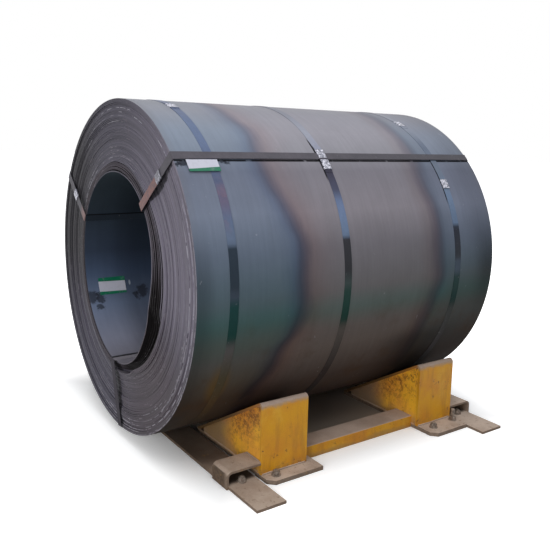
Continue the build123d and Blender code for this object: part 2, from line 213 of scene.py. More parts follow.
class Finish(Tree):
    """One procedural finish, by each point's place in the part's own frame. Its colour is built
    up by laying paint and tints over the first one."""

    def __init__(self, name):
        self.material = bpy.data.materials.new(name)
        super().__init__(self.material)
        self.place = self.node("TexCoord", {}, "Object")
        self.x, self.y, self.z = self.split(self.place)

    def vector(self, x, y, z):
        return self.node("CombineXYZ", {0: x, 1: y, 2: z})

    def noise(self, scale, detail=3.0, rough=0.5, stretch=(1.0, 1.0, 1.0), place=None):
        scaled = self.node("VectorMath", {0: place or self.place, 1: stretch}, operation="MULTIPLY")
        look = {"Vector": scaled, "Scale": scale, "Detail": detail, "Roughness": rough}
        return self.node("TexNoise", look, "Fac")

    def blend(self, share, low, high):
        """From one screen colour to another as the share goes from 0 to 1."""
        return self.mix(share, shade(*low), shade(*high))

    def paint(self, share, colour):
        """Lays a colour over the finish, as far as the share says."""
        colour = shade(*colour) if isinstance(colour, tuple) else colour
        self.colour = self.mix(share, self.colour, colour)

    def tint(self, by, share=1.0):
        """Multiplies the finish by a grey value or by three numbers, as far as the share says."""
        by = factor(*by) if isinstance(by, tuple) else by
        self.colour = self.mix(share, self.colour, by, "MULTIPLY")

    def ramp(self, value, rows, colour_of=shade):
        """Colour by a value; a row holds the value and the colour there."""
        node = self.nodes.new("ShaderNodeValToRGB")
        elements = node.color_ramp.elements
        while len(elements) < len(rows):
            elements.new(0.5)
        for element, (place, *colour) in zip(elements, rows):
            element.position = place
            element.color = colour_of(*colour)
        self.put(node.inputs[0], value)
        return Value(self, node.outputs[0])

    def round_ramp(self, angle, rows, colour_of=shade):
        """Colour by the angle round the coil."""
        return self.ramp(turn_share(angle), [(turn_share(a), *colour) for a, *colour in rows], colour_of)

    def round_line(self, angle, table):
        """X by the angle round the coil, as a smooth curve through the table's pairs."""
        node = self.nodes.new("ShaderNodeFloatCurve")
        line = node.mapping.curves[0]
        while len(line.points) < len(table):
            line.points.new(0.5, 0.5)
        for spot, (place, x) in zip(line.points, table):
            spot.location = (turn_share(place), (x + curve_reach) / (2 * curve_reach))
        node.mapping.update()
        self.put(node.inputs["Value"], turn_share(angle))
        return Value(self, node.outputs[0]) * (2 * curve_reach) - curve_reach

    def facing(self, axis):
        """How far a face looks along X, Y or Z: 0, 1 or 2."""
        return self.split(self.node("NewGeometry", {}, "Normal"))[axis]

    def radius(self):
        """Distance from the coil's axis."""
        height = self.z - axis_height
        return self.math("SQRT", height * height + self.y * self.y)

    def angle(self):
        """Angle round the coil in degrees, from -180 to 180."""
        return self.math("ARCTAN2", self.z - axis_height, self.y * -1.0) * math.degrees(1)

    def height_angle(self, radius):
        """Angle above the level of the coil's axis, the same on both sides, in degrees."""
        return self.math("ARCSINE", (self.z - axis_height) / radius) * math.degrees(1)

    def distance(self, place, stretch=(1.0, 1.0, 1.0)):
        """Distance from a place, measured longer or shorter along each axis."""
        places = zip((self.x, self.y, self.z), place, stretch)
        x, y, z = ((here - there) * along for here, there, along in places)
        return self.math("SQRT", x * x + y * y + z * z)

    def spots(self, rows, radius, ragged, core, colour, stretch=(1.0, 1.0, 1.0)):
        """Ragged spots on the coil; a row holds X, angle, reach and strength."""
        for x, angle, reach, strength in rows:
            away = self.distance(point(x, radius, angle), stretch) + ragged
            self.paint(away.step(reach, reach * core) * strength, colour)

    def finish(self, rough, bump, depth, shine=0.5, metallic=0.0):
        shader = self.nodes["Principled BSDF"]
        relief = self.node("Bump", {"Strength": 1.0, "Distance": depth, "Height": bump}, "Normal")
        for name, value in (("Base Color", self.colour), ("Roughness", rough), ("Metallic", metallic),
                            ("Specular IOR Level", shine), ("Normal", relief)):
            self.put(shader.inputs[name], value)
        return self.material


def turn_share(angle):
    """An angle from -180 to 180 degrees as a share of a full turn."""
    return (angle + 180.0) / 360.0


# Finishes of the coil

# Where the blue of its near and far edge bands ends, as angle and X; the curves reach 0.7 m out
curve_reach = 0.7
near_band_edge = [
    (-180, -0.40), (-90, -0.44), (-50, -0.43), (-36, -0.415), (-28, -0.375), (-20, -0.352), (-14, -0.302),
    (-7, -0.275), (5, -0.286), (13, -0.285), (20, -0.313), (27, -0.34), (34, -0.368), (40, -0.378),
    (46, -0.368), (56, -0.345), (64, -0.372), (90, -0.38), (135, -0.34), (180, -0.40)]
far_band_edge = [
    (-180, 0.36), (-90, 0.30), (-38, 0.315), (-24, 0.325), (-14, 0.335), (-8, 0.352), (-2, 0.370),
    (5, 0.360), (20, 0.358), (33, 0.334), (41, 0.352), (60, 0.360), (135, 0.38), (180, 0.36)]

# Colour of the coil's side by angle, with painted shade low down and painted sheen on top, and what its edge
# bands multiply it by
side_colours_shade_and_sheen = [
    (-180, 112, 110, 112), (-158, 112, 105, 100), (-142, 80, 68, 62), (-120, 66, 55, 50), (-60, 66, 55, 50),
    (-38, 80, 67, 61), (-22, 117, 106, 100), (-10, 115, 109, 107), (0, 122, 120, 123), (12, 129, 126, 133),
    (24, 151, 146, 154), (38, 137, 134, 143), (46, 156, 155, 163), (56, 165, 163, 172), (70, 158, 157, 166),
    (90, 152, 152, 158), (120, 158, 158, 164), (160, 128, 124, 128), (180, 112, 110, 112)]
band_factors = [
    (-180, 0.62, 0.88, 1.02), (-160, 0.56, 0.84, 0.80), (-120, 0.72, 0.86, 0.74), (-60, 0.84, 0.86, 0.74),
    (-36, 0.86, 0.84, 0.71), (-28, 0.76, 0.82, 0.76), (-21, 0.66, 0.79, 0.82), (-16, 0.58, 0.84, 0.82),
    (0, 0.58, 0.86, 0.98), (12, 0.70, 0.92, 1.10), (36, 0.72, 0.86, 1.00), (56, 0.72, 0.86, 0.95),
    (70, 0.92, 0.97, 0.99), (90, 0.97, 0.99, 1.00), (150, 0.70, 0.90, 1.02), (180, 0.62, 0.88, 1.02)]

# Factors across the near and the far band's edge, the first column as a share of 0.4 m
near_edge_factors = [
    (0.22, 1, 1, 1), (0.33, 0.88, 0.90, 0.94), (0.40, 0.66, 0.70, 0.80), (0.46, 0.36, 0.38, 0.49),
    (0.52, 0.50, 0.44, 0.51), (0.60, 0.90, 0.76, 0.74), (0.74, 1.00, 0.94, 0.93), (0.90, 1, 1, 1)]
far_edge_factors = [
    (0.06, 1, 1, 1), (0.19, 0.88, 0.83, 0.82), (0.28, 0.50, 0.46, 0.52), (0.35, 0.42, 0.44, 0.51),
    (0.44, 0.84, 0.86, 0.88), (0.66, 1.04, 1.03, 1.05), (0.98, 0.76, 0.74, 0.75)]


def side_finish():
    f = Finish("mill_scale_side")
    angle = f.angle()
    height = f.height_angle(f.radius())
    cloud = f.noise(3.1, 4.0, 0.6, (1.0, 0.45, 0.45))
    wobble = (cloud - 0.5) * 0.09
    near = f.x - f.round_line(angle, near_band_edge) + wobble
    far = f.x - f.round_line(angle, far_band_edge) + wobble
    # Colour by angle, with painted shade darkening the underside and painted sheen lightening the top
    f.colour = f.round_ramp(angle, side_colours_shade_and_sheen)
    bands = near.step(0.02, -0.05).either(far.step(-0.01, 0.05) * 0.9)
    f.tint(f.round_ramp(angle, band_factors, factor), bands)
    upper = 1.0 - height.step(-30.0, 85.0) * 0.45
    f.tint(f.ramp(near * 2.5 + 0.5, near_edge_factors, factor), upper)
    f.tint(f.ramp(far * 2.5 + 0.3, far_edge_factors, factor), upper)
    end_rim = abs(f.x).step(0.655, 0.692) * height.step(8.0, 34.0)
    f.paint(end_rim * 0.25, (118, 116, 120))
    near_rim = f.x.step(-0.605, -0.680) * height.step(26.0, 2.0)
    f.paint(near_rim * 0.42, (28, 31, 36))
    streak = f.noise(26.0, 3.0, 0.55, (3.0, 0.12, 0.12))
    fine = f.noise(150.0, 2.0, 0.5, (2.2, 0.10, 0.10))
    mottle = f.noise(9.0, 5.0, 0.62)
    f.tint(0.57 + streak * 0.14 + mottle * 0.18 + fine * 0.08)

    # Grey over the far band's lower part, with painted shade darker towards the bottom
    grey = far.step(0.03, 0.12) * height.step(6.0, -14.0)
    f.paint(grey * 0.85, f.blend(height.step(-14.0, -38.0), (78, 80, 79), (54, 49, 47)))
    # Darker patch low on the side between about X 0.08 and 0.56
    dark_low_patch = f.x.step(0.08, 0.28) * height.step(-18.0, -28.0)
    f.paint(dark_low_patch * (0.58 - f.x.step(0.40, 0.56) * 0.46), (22, 19, 17))
    far_rim = f.x.step(0.56, 0.67) * height.inside(-14.0, 9.0, 10.0)
    f.paint(far_rim * 0.58, (21, 21, 23))
    brown = f.noise(5.0, 5.0, 0.65).step(0.50, 0.72) * height.step(5.0, -35.0)
    f.paint(brown * 0.55, (70, 50, 34))
    f.tint((0.77, 1.07, 1.03), height.inside(-12.0, -4.5, 4.0))
    # Painted reflection of the yellow cradle: a warm patch low on the side near the near end
    glow = f.distance(point(-0.572, coil_radius, -30.0), (1.5, 0.75, 0.75)) + (cloud - 0.5) * 0.10
    f.paint(glow.step(0.085, 0.02) * 0.55, (104, 78, 34))

    ragged = (f.noise(70.0, 4.0, 0.7) - 0.5) * 0.03
    beside_label = [(-0.668, 41.2, 0.014, 0.85), (-0.684, 40.9, 0.010, 0.7), (-0.516, 42.0, 0.009, 0.8),
                    (-0.500, 41.3, 0.007, 0.7)]
    f.spots(beside_label, coil_radius, ragged, 0.6, (34, 36, 44), (0.6, 1.0, 1.0))
    broken = f.noise(30.0, 2.0, 0.5, (1.0, 0, 0)).step(0.30, 0.45)
    # Painted shadow lines under the upper eye strap and beside the middle and far belly straps
    shadow_under_strap = angle.inside(41.85, 42.6, 0.06) * broken
    shadow_beside_middle = f.x.inside(-0.1175, -0.111, 0.0006) * angle.inside(35.0, 52.0, 1.5)
    shadow_beside_far = f.x.inside(0.4560, 0.4620, 0.0006) * angle.inside(25.0, 44.0, 2.0)
    f.paint(shadow_under_strap.either(shadow_beside_middle).either(shadow_beside_far) * 0.92, (16, 15, 18))
    rubbed = f.noise(60.0, 2.0, 0.5, (0.9, 0.5, 0.5)).step(0.74, 0.80)
    f.paint(rubbed * 0.18, (190, 190, 198))
    rough = 0.46 + mottle * 0.16 + height.step(5.0, -30.0) * 0.25
    bump = streak * 0.5 + f.noise(420.0, 2.0, 0.5) * 0.12
    return f.finish(rough, bump, 0.0004, shine=0.05)


def bore_finish():
    f = Finish("mill_scale_bore")
    angle = f.angle()
    # Painted light and shade round the bore: dark at the top, lighter low on the +Y side where light comes in
    f.colour = f.round_ramp(angle, [
        (-180, 50, 60, 77), (-165, 70, 84, 108), (-145, 104, 116, 140), (-120, 126, 129, 146),
        (-95, 116, 112, 120), (-60, 96, 92, 96), (0, 70, 68, 72), (60, 56, 60, 66),
        (100, 52, 62, 68), (150, 42, 51, 60), (180, 50, 60, 77)])
    streak = f.noise(20.0, 3.0, 0.55, (2.6, 0.2, 0.2))
    mottle = f.noise(7.0, 5.0, 0.6)
    f.tint(0.72 + streak * 0.22 + mottle * 0.34)
    # Painted shade darkening the bore away from its ends
    f.tint((0.18, 0.19, 0.20), abs(f.x).step(0.60, 0.47) * 0.50)
    ragged = (f.noise(40.0, 4.0, 0.7) - 0.5) * 0.07
    round_label = [(-0.672, -150.5, 0.034), (-0.636, -149.5, 0.030), (-0.445, -151.5, 0.036),
                   (-0.645, -144.0, 0.022), (-0.475, -149.0, 0.018)]
    f.spots([(*spot, 0.75) for spot in round_label], bore_radius, ragged, 0.55, (30, 30, 36))
    scuff = f.distance(point(-0.498, bore_radius, -158.0), (2.6, 1.0, 1.0)).step(0.013, 0.009)
    f.paint(scuff * 0.8, (150, 158, 172))
    # Painted shadow line beside the bottom eye strap in the bore
    f.paint(angle.inside(-102.9, -101.2, 0.15) * 0.9, (14, 14, 16))
    return f.finish(0.42 + mottle * 0.2, streak, 0.0003, shine=0.25)


def gap_shade_finish():
    """The faces between the loose turns, painted dark as shade."""
    f = Finish("painted_shade_gaps")
    patch = f.noise(20.0, 3.0, 0.6)
    f.colour = f.blend(patch, (22, 21, 23), (42, 39, 40))
    return f.finish(0.7, patch, 0.0002, shine=0.03)


# Bright broken lines on the ends, bright bare turn edges with a painted highlight: radius, first and last
# angle, how broken, how strong
highlight_rows = [
    (0.6168, -112, 30, 0.30, 0.30), (0.5915, -66, 30, 0.34, 0.62), (0.5865, 24, 62, 0.40, 0.50),
    (0.6070, -112, -30, 0.46, 0.35), (0.6000, -112, -72, 0.34, 0.85), (0.5840, -112, -74, 0.38, 0.75),
    (0.5680, -112, -76, 0.42, 0.65), (0.5705, -64, 22, 0.40, 0.45), (0.5580, -28, 24, 0.50, 0.40),
    (0.5480, -66, 0, 0.48, 0.42), (0.5875, 68, 122, 0.50, 0.50), (0.5720, 58, 104, 0.52, 0.55),
    (0.5600, 84, 128, 0.50, 0.45), (0.5400, 88, 126, 0.50, 0.50), (0.4300, 96, 150, 0.44, 0.45),
    (0.4120, 96, 156, 0.44, 0.45)]


def leg_shadow(f, radius, angle, strap, bore_reach, limits, sign):
    """Dark line on the near end beside a strap's leg, on the side that the sign says."""
    rim_angle, bore_angle = eye_places[strap]
    start = point(0, 0.6224, rim_angle)
    leg = (point(0, bore_reach, bore_angle) - start).normalized()
    off_leg = (f.y - start.y) * (leg.z * sign) + (f.z - start.z) * (-leg.y * sign)
    middle = radius.step(0.38, 0.46) * radius.step(0.62, 0.54)
    reach = 0.0200 + middle * 0.0130 if sign > 0 else 0.0290
    beside = off_leg.step(0.0010, 0.0030) * (off_leg - reach).step(0.0030, -0.0030)
    low, high = limits
    near_end = f.x.step(-0.60, -0.62)
    shadow = beside * angle.step(low, low + 4.0) * angle.step(high, high - 4.0) * near_end
    f.paint(shadow * 0.85, (16, 15, 18))


def end_finish(name, loose_turns):
    f = Finish(name)
    radius, angle = f.radius(), f.angle()
    turn = f.math("FLOOR", (coil_radius + 0.0001 - radius) / sheet)
    part = f.math("FRACT", (coil_radius - radius) / sheet)
    round_y, round_z = f.y / radius, (f.z - axis_height) / radius
    ring_place = f.vector(radius * 40.0, round_y, round_z)
    broad = f.noise(1.0, 3.0, 0.6, (1.0, 1.2, 1.2), ring_place)
    rings = f.noise(1.0, 2.0, 0.6, (5.0, 1.6, 1.6), ring_place)
    fine = f.noise(1.0, 2.0, 0.6, (10.0, 26.0, 26.0), ring_place)
    f.colour = f.blend(broad, (68, 66, 76), (90, 87, 98))
    f.tint((0.82, 0.81, 0.85), rings.step(0.66, 0.42))
    right = f.y.step(0.05, -0.45) * angle.step(-45.0, 5.0)
    f.paint(right * 0.78, (118, 113, 126))
    warm = angle.step(-5.0, -45.0) * f.y.step(0.15, -0.25)
    f.paint(warm * 0.85, (61, 52, 58))
    left = f.y.step(0.10, 0.45) * f.z.step(axis_height - 0.35, axis_height + 0.05)
    f.paint(left * 0.88, (45, 44, 46))
    if loose_turns:
        f.paint(0.55, (76, 70, 72))
        # Painted shade, nearly black, on the loose turns' edges low on the sprung side
        deep_shade = angle.step(16.0, -10.0) * angle.step(-100.0, -84.0)
        f.paint(deep_shade * 0.96, (14, 12, 12))

    def along(turn_factor, round_factor, detail=2.0):
        """Noise that differs from turn to turn and runs along each turn."""
        place = f.vector(turn * turn_factor, round_y * round_factor, round_z * round_factor)
        return f.noise(1.0, detail, 0.6, place=place)

    own = along(5.17, 0.4, 0.0).step(0.40, 0.60)
    f.tint(0.395 + fine * 0.38 + own * 0.34 + along(2.9, 1.6) * 0.50)
    quick, slow = along(7.31, 20.0), along(3.77, 4.0)
    outer_band = radius.step(0.598, 0.604) * angle.step(40.0, 24.0)
    f.paint(outer_band * 0.34, (44, 42, 46))
    slant = abs(round_y).step(0.35, 0.95)

    def highlight_line(middle, low, high, least, strength):
        off_line = abs(radius - middle) - slant * 0.0004
        line = off_line.step(0.0014, 0.0008) * angle.inside(low, high, 8.0)
        return line * slow.step(least, least + 0.08) * strength

    # Painted highlights along the turn edges
    highlights = reduce(Value.either, [highlight_line(*row) for row in highlight_rows])
    f.paint(highlights * quick.step(0.40, 0.48), (208, 206, 216))
    stray = slow.step(0.54, 0.62) * quick.step(0.50, 0.58) * part.inside(0.10, 0.50, 0.10)
    inner_zone = radius.step(0.50, 0.42) * angle.step(35.0, 80.0)
    outer_zone = radius.step(0.500, 0.545) * angle.step(20.0, -30.0)
    zone = (0.22 + inner_zone * 0.30).either(outer_zone * 0.60)
    f.paint(stray * zone, (168, 160, 170))
    leg_shadow(f, radius, angle, "upper", 0.3222, (30.0, 60.0), 1.0)
    leg_shadow(f, radius, angle, "bottom", 0.3800, (-108.0, -70.0), -1.0)
    rust = f.noise(8.0, 5.0, 0.7).step(0.60, 0.78)
    f.paint(rust * 0.14, (90, 70, 62))
    return f.finish(0.55, fine, 0.0003, shine=0.03 if loose_turns else 0.15)


# Finishes of the straps, seals and labels

# Colours of the three belly straps by angle, with a painted reflection on top and painted shade underneath
belly_colours_shade_and_reflection = {
    "belly_near": [
        (-180, 64, 70, 88), (-150, 40, 42, 46), (-120, 24, 22, 22), (-60, 24, 22, 22), (-38, 72, 56, 36),
        (-27, 72, 65, 49), (-16, 84, 82, 82), (-12.4, 16, 50, 46), (-2, 16, 50, 50), (-0.6, 52, 62, 74),
        (1, 50, 60, 72), (3, 36, 46, 56), (14.6, 44, 54, 66), (15.6, 96, 110, 132), (22, 92, 106, 132),
        (28, 100, 94, 116), (36, 80, 90, 116), (43, 92, 104, 132), (58, 94, 108, 136), (74, 92, 100, 124),
        (92, 128, 132, 146), (140, 70, 76, 96), (180, 64, 70, 88)],
    "belly_middle": [
        (-180, 70, 74, 90), (-150, 42, 42, 48), (-120, 26, 24, 24), (-60, 26, 24, 24), (-34, 38, 30, 28),
        (-16, 84, 78, 74), (-12.4, 14, 44, 38), (-3, 16, 48, 42), (0, 50, 62, 62), (4, 38, 39, 43),
        (14.4, 50, 50, 56), (15.6, 104, 122, 148), (26, 106, 122, 154), (31, 72, 74, 94), (38, 56, 54, 68),
        (46, 136, 139, 156), (56, 146, 149, 162), (70, 120, 122, 134), (98, 112, 114, 122),
        (150, 84, 88, 106), (180, 70, 74, 90)],
    "belly_far": [
        (-180, 66, 70, 84), (-150, 42, 42, 48), (-120, 26, 24, 24), (-60, 26, 24, 24), (-30, 54, 51, 52),
        (-16, 66, 68, 67), (-12, 12, 38, 36), (-3, 14, 42, 41), (-0.6, 58, 70, 84), (3.4, 56, 66, 80),
        (4.4, 34, 38, 46), (15.4, 36, 40, 52), (16.6, 98, 116, 142), (27, 108, 126, 152), (38, 104, 114, 130),
        (50, 96, 106, 124), (62, 130, 136, 150), (80, 134, 135, 144), (98, 124, 126, 136), (150, 80, 84, 98),
        (180, 66, 70, 84)]}
# Angles of the painted shadow line beside two eye straps in the bore
bore_shadow_lines = {"eye_back": (154.55, 155.3), "eye_bottom": (-102.0, -100.5)}


def eye_strap_colour(f, kind, radius, angle, patch):
    """Grey along the coil, rusty down some of the near end; in the bore, painted shade makes the upper and
    back straps dark, and the bottom strap is lighter.
    """
    f.colour = f.blend(patch, (68, 67, 74), (92, 88, 95))
    f.paint(f.x.step(-0.1, 0.2) * 0.4, (60, 60, 66))
    on_leg = f.x.step(-0.690, -0.6925)
    if kind == "eye_upper":
        rusty = on_leg * radius.step(0.505, 0.475)
        blotch = (patch + rusty * 0.35).step(0.60, 0.72)
        f.paint(rusty * 0.85, (120, 92, 94))
        f.paint(blotch * rusty * 0.6, (142, 104, 96))
        worn = rusty * f.noise(75.0, 4.0, 0.75).step(0.46, 0.60)
        f.paint(worn * 0.65, (92, 86, 94))
    if kind == "eye_bottom":
        f.paint(on_leg * 0.9, (70, 67, 73))
    if kind == "eye_back":
        f.paint(on_leg * radius.step(0.44, 0.40) * 0.7, (150, 120, 116))
    in_bore = radius.step(0.40, 0.39) * f.x.inside(-0.690, 0.690, 0.002)
    # In the bore: painted shade, dark like the bore, on the upper and back straps; lighter on the bottom
    # strap
    f.paint(in_bore, (128, 124, 131) if kind == "eye_bottom" else (42, 49, 58))
    if kind in bore_shadow_lines:
        low, high = bore_shadow_lines[kind]
        # Painted shadow line beside the strap in the bore
        f.paint(angle.inside(low, high, 0.1) * in_bore * 0.95, (10, 10, 12))


def strap_finish(name, kind):
    """Blued strap. The kind says where it is worn, rusty or still dark."""
    f = Finish(name)
    radius, angle = f.radius(), f.angle()
    patch = f.noise(14.0, 4.0, 0.65)
    fine = f.noise(90.0, 2.0, 0.6, (1.0, 0.6, 0.6))
    dull = kind == "eye_bottom"
    rough = (0.60 if dull else 0.36) + patch * 0.2
    if kind in belly_colours_shade_and_reflection:
        # Colour by angle, with painted reflection on top and painted shade underneath
        f.colour = f.round_ramp(angle, belly_colours_shade_and_reflection[kind])
        rough = rough + f.height_angle(radius).step(5.0, -18.0) * 0.35
    else:
        eye_strap_colour(f, kind, radius, angle, patch)
    if kind == "belly_near":
        rust = patch.step(0.52, 0.64) * angle.inside(20.0, 36.0, 4.0)
        f.paint(rust * 0.30, (122, 94, 102))
    f.tint(0.74 + patch * 0.26 + fine * 0.24)
    scuff = f.noise(120.0, 3.0, 0.7, (0.5, 1.0, 1.0)).step(0.66, 0.74)
    f.paint(scuff * 0.25, (176, 174, 182))
    return f.finish(rough, fine, 0.0002, shine=0.05 if dull else 0.12)


def seal_finish(name, dirtiness):
    f = Finish(name)
    spangle = f.noise(110.0, 4.0, 0.75)
    f.colour = f.blend(spangle.step(0.42, 0.60), (118, 120, 134), (226, 226, 238))
    dirt = (f.noise(75.0, 5.0, 0.75) + dirtiness).step(0.54, 0.66)
    f.paint(dirt * 0.85, (84, 82, 92))
    return f.finish(0.28 + spangle * 0.2, spangle, 0.0004, metallic=0.25)


def label_finish(name, white_low, white_high):
    """A white field on a green backing; the limits are angles."""
    f = Finish(name)
    turned = f.math("FLOORED_MODULO", f.angle() + 360.0, 360.0)
    slanted = turned + (f.x + 0.59) * -6.0
    white = slanted.inside(white_low % 360, white_high % 360, 0.06)
    grime = f.noise(50.0, 4.0, 0.6)
    f.colour = f.blend(white, (14, 100, 72), (185, 186, 199))
    f.paint(grime.step(0.5, 0.8) * 0.35, (150, 146, 152))
    return f.finish(0.45, grime, 0.0002)


# Finishes of the cradle

def paint_finish(name, part):
    """Chipped yellow paint with rust, dirt and dust, and painted shade under the coil; the part says where it
    is dirtiest, and the sides get a lighter yellow as painted light.
    """
    f = Finish(name)
    patch = f.noise(7.0, 5.0, 0.6)
    speck = f.noise(46.0, 5.0, 0.72)
    fine = f.noise(210.0, 3.0, 0.6)
    up, out = f.facing(2), abs(f.y)
    # The sides get a lighter yellow, painted light that makes up for the coil's shade over them
    yellows = ((234, 174, 46), (222, 156, 60)) if part == "side" else ((206, 148, 26), (196, 130, 38))
    f.colour = f.blend(patch.step(0.35, 0.66), *yellows)
    pale = f.noise(11.0, 4.0, 0.6, (1.0, 1.0, 0.6)).step(0.52, 0.70)
    f.paint(pale * 0.5, (214, 168, 62))
    drip = f.noise(30.0, 4.0, 0.6, (1.0, 1.0, 0.18)).step(0.50, 0.70)
    f.paint(drip * 0.40, (160, 104, 40))
    rust = speck.step(0.60, 0.66)
    if part == "side":
        depth = contact_z - f.z + (out - contact_y) * math.tan(slope)
        scraped = depth.step(0.150, 0.015) * patch.step(0.30, 0.58)
        f.paint(scraped * 0.70, f.blend(speck.step(0.44, 0.60), (170, 98, 36), (222, 150, 58)))
        small = (f.noise(55.0, 6.0, 0.85) + (patch - 0.5) * 0.25).step(0.500, 0.550)
        corner = depth.step(0.185, 0.015) * out.step(0.30, 0.42)
        rust = (small * corner).either(rust * 0.6)
        f.paint(out.step(0.42, 0.28) * 0.85, f.blend(patch, (92, 76, 62), (128, 112, 98)))
        foot = f.z.step(0.075, 0.015) * (patch + speck * 0.4).step(0.5, 0.85)
        f.paint(foot * 0.65, (128, 108, 88))
    if part == "plate":
        band = f.z + (f.noise(34.0, 4.0, 0.7) - 0.5) * 0.030
        f.paint(band.step(0.243, 0.262) * 0.85, f.blend(patch, (136, 116, 98), (166, 148, 132)))
        foot = f.z.step(0.060, 0.015) * speck.step(0.40, 0.62)
        f.paint(foot * 0.5, (134, 104, 66))
        rust = rust * patch.step(0.42, 0.52)
    if part == "beam":
        rust = rust * 0.7
        foot = (f.z + (patch - 0.5) * 0.05).step(0.022, 0.004)
        f.paint(foot * 0.6, (150, 116, 72))
    f.paint(rust * 0.85, f.blend(fine, (84, 50, 26), (128, 80, 40)))
    dust = (up + (patch - 0.5) * 0.3).step(0.30, 0.62)
    f.paint(dust * 0.96, f.blend(patch.step(0.3, 0.7), (150, 131, 119), (176, 157, 144)))
    if part == "plate":
        # Rusty worn edges of the plate, with painted shade darkening them towards the middle under the coil
        edge = abs(f.facing(0)).step(0.4, 0.8) * out.step(0.566, 0.556)
        f.paint(edge * 0.9, f.blend(out.step(0.56, 0.36), (150, 96, 44), (64, 50, 38)))
        # Painted shade on the slope's upward faces near the middle, under the coil
        shade_under_coil = up.step(0.5, 0.8) * out.step(0.50, 0.40)
        f.paint(shade_under_coil * 0.9, (44, 37, 31))
    f.tint(0.88 + fine * 0.26)
    return f.finish(0.50 + dust * 0.35, fine * 0.35 - rust * 0.6, 0.0005, shine=0.35)


def dusty_finish():
    f = Finish("dusty_plate_look")
    patch = f.noise(9.0, 5.0, 0.62)
    speck = f.noise(60.0, 4.0, 0.7)
    fine = f.noise(260.0, 3.0, 0.6)
    up, out = f.facing(2).step(0.2, 0.8), abs(f.y)
    f.colour = f.blend(patch.step(0.32, 0.66), (163, 143, 128), (190, 172, 157))
    # Lighter towards the right end: painted light where the lamp's light falls off
    f.paint(f.x.step(0.45, 0.60) * 0.35, (205, 188, 174))
    f.paint(f.x.step(-0.35, -0.45) * 0.25, (140, 118, 98))
    # Painted shade on the plates and bars near the middle, under the coil
    f.paint(out.step(0.50, 0.34) * 0.85, f.blend(patch, (58, 48, 42), (86, 72, 62)))
    outside = f.x.step(-0.4145, -0.4165).either(f.x.step(0.5415, 0.5435))
    # Painted shade under the clips' top plates
    shade_under_clip = out.inside(0.480, 0.560, 0.012) * outside * f.z.step(0.053, 0.050)
    f.paint(shade_under_clip * 0.85, (44, 36, 30))
    f.paint(0.70 - up * 0.70, f.blend(speck.step(0.4, 0.6), (92, 76, 64), (118, 98, 80)))
    f.paint(f.noise(17.0, 4.0, 0.7).step(0.64, 0.74) * 0.35, (170, 128, 62))
    f.paint(speck.step(0.58, 0.68) * 0.5, (98, 72, 54))
    f.tint(0.86 + fine * 0.26)
    return f.finish(0.88, fine, 0.0006, shine=0.2)


def bolt_finish():
    f = Finish("bolt_steel_look")
    patch = f.noise(90.0, 4.0, 0.65)
    f.colour = f.blend(patch.step(0.38, 0.62), (96, 84, 74), (150, 138, 128))
    f.paint(f.facing(2).step(0.3, 0.9) * 0.5, (150, 134, 120))
    f.paint(f.noise(50.0, 3.0, 0.6).step(0.55, 0.68) * 0.5, (108, 70, 44))
    return f.finish(0.55, patch, 0.0004, metallic=0.3)


# Geometry helpers

def add_object(name, data):
    thing = bpy.data.objects.new(name, data)
    bpy.context.scene.collection.objects.link(thing)
    return thing


def piece(name, shape, finishes, nodes=()):
    """A mesh that rides on the frame, with one finish for each mark on its faces."""
    mesh = bpy.data.meshes.new(name)
    mesh.from_pydata([tuple(p) for p in shape.points], [], shape.faces)
    for finish in finishes:
        mesh.materials.append(finish)
    mesh.polygons.foreach_set("material_index", shape.marks)
    mesh.polygons.foreach_set("use_smooth", [True] * len(mesh.polygons))
    mesh.update()
    mesh.set_sharp_from_angle(angle=math.radians(35))
    thing = add_object(name, mesh)
    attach(thing, "root")
    if nodes:
        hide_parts(*nodes)


class Shape:
    """Points and faces gathered from several simple surfaces."""

    def __init__(self):
        self.points = []
        self.faces = []
        self.marks = []

    def grid(self, rows, closed_rows=False, closed_columns=False, mark=0, flip=False):
        """Quads between rows of points; closed rows join the last row to the first."""
        start = len(self.points)
        width = len(rows[0])
        for row in rows:
            self.points += row
        count = len(rows)
        for i in range(count if closed_rows else count - 1):
            for j in range(width if closed_columns else width - 1):
                a = start + i * width + j
                b = start + i * width + (j + 1) % width
                c = start + (i + 1) % count * width + (j + 1) % width
                d = start + (i + 1) % count * width + j
                self.faces.append((a, d, c, b) if flip else (a, b, c, d))
                self.marks.append(mark)

    def cap(self, ring, flip=False):
        start = len(self.points)
        self.points += ring
        face = tuple(range(start, start + len(ring)))
        self.faces.append(face[::-1] if flip else face)
        self.marks.append(0)

    def ribbon(self, middles, sides, normals, closed=False):
        """A strap with broken edges, along a line of middle points."""
        half, thick = strap_width / 2, strap_sheet / 2
        cut = strap_sheet * 0.3
        outline = [(-half, -thick + cut), (-half + cut, -thick), (half - cut, -thick), (half, -thick + cut),
                   (half, thick - cut), (half - cut, thick), (-half + cut, thick), (-half, thick - cut)]
        rows = [[m + s * a + n * b for a, b in outline] for m, s, n in zip(middles, sides, normals)]
        self.grid(rows, closed_rows=closed, closed_columns=True)
        if not closed:
            self.cap(rows[0])
            self.cap(rows[-1], flip=True)


# The coil, with every turn as a band of its own

# How far the innermost turn stands in from the round bore, as angle and millimetres
sprung = [(-180, 0), (-108, 0), (-90, 9), (-68, 40), (-44, 84), (-18, 110), (10, 97), (38, 68),
          (68, 43), (100, 23), (134, 7), (155, 1.2), (170, 0), (180, 0)]


